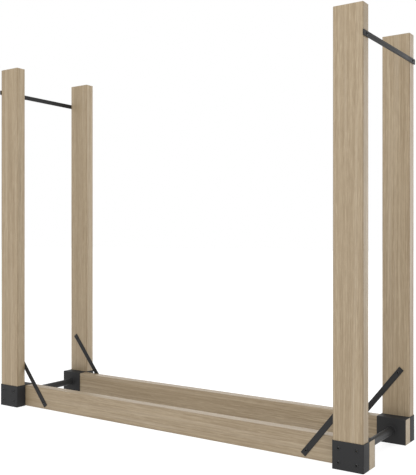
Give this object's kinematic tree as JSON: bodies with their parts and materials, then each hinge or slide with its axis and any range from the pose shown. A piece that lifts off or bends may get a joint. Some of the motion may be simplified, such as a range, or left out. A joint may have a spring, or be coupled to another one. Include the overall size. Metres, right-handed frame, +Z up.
{
  "type": "firewood log rack",
  "caption": "Open floor rack for stacking logs: two long lumber rails, a lumber post at each corner, black steel corner brackets, cross tubes, end straps and flat diagonal braces.",
  "frame": {"origin": "on the floor, under the middle of the rack", "axes": "+X along the rails, +Y from front to rear, +Z up the posts"},
  "size_m": [1.469, 0.4172, 1.27],
  "materials": {
    "lumber": "planed, light oak-coloured, matt",
    "black_steel": "satin black powder coat",
    "black_screw": "black coated, slightly glossier than the brackets"
  },
  "bodies": {
    "root": {"front_rail": "lumber", "rear_rail": "lumber", "front_left_post": "lumber", "front_left_corner_bracket": "black_steel", "front_left_corner_brace": "black_steel", "front_left_bracket_screw_lower_inner": "black_screw", "front_left_bracket_screw_lower_outer": "black_screw", "front_left_bracket_screw_upper_inner": "black_screw", "front_left_bracket_screw_upper_outer": "black_screw", "front_left_strap_screw": "black_screw", "front_left_brace_foot_screw": "black_screw", "front_left_brace_head_screw": "black_screw", "front_right_post": "lumber", "front_right_corner_bracket": "black_steel", "front_right_corner_brace": "black_steel", "front_right_bracket_screw_lower_inner": "black_screw", "front_right_bracket_screw_lower_outer": "black_screw", "front_right_bracket_screw_upper_inner": "black_screw", "front_right_bracket_screw_upper_outer": "black_screw", "front_right_strap_screw": "black_screw", "front_right_brace_foot_screw": "black_screw", "front_right_brace_head_screw": "black_screw", "rear_left_post": "lumber", "rear_left_corner_bracket": "black_steel", "rear_left_corner_brace": "black_steel", "rear_left_bracket_screw_lower_inner": "black_screw", "rear_left_bracket_screw_lower_outer": "black_screw", "rear_left_bracket_screw_upper_inner": "black_screw", "rear_left_bracket_screw_upper_outer": "black_screw", "rear_left_strap_screw": "black_screw", "rear_left_brace_foot_screw": "black_screw", "rear_left_brace_head_screw": "black_screw", "rear_right_post": "lumber", "rear_right_corner_bracket": "black_steel", "rear_right_corner_brace": "black_steel", "rear_right_bracket_screw_lower_inner": "black_screw", "rear_right_bracket_screw_lower_outer": "black_screw", "rear_right_bracket_screw_upper_inner": "black_screw", "rear_right_bracket_screw_upper_outer": "black_screw", "rear_right_strap_screw": "black_screw", "rear_right_brace_foot_screw": "black_screw", "rear_right_brace_head_screw": "black_screw", "left_end_strap": "black_steel", "left_cross_tube": "black_steel", "right_end_strap": "black_steel", "right_cross_tube": "black_steel"}
  },
  "joints": []
}
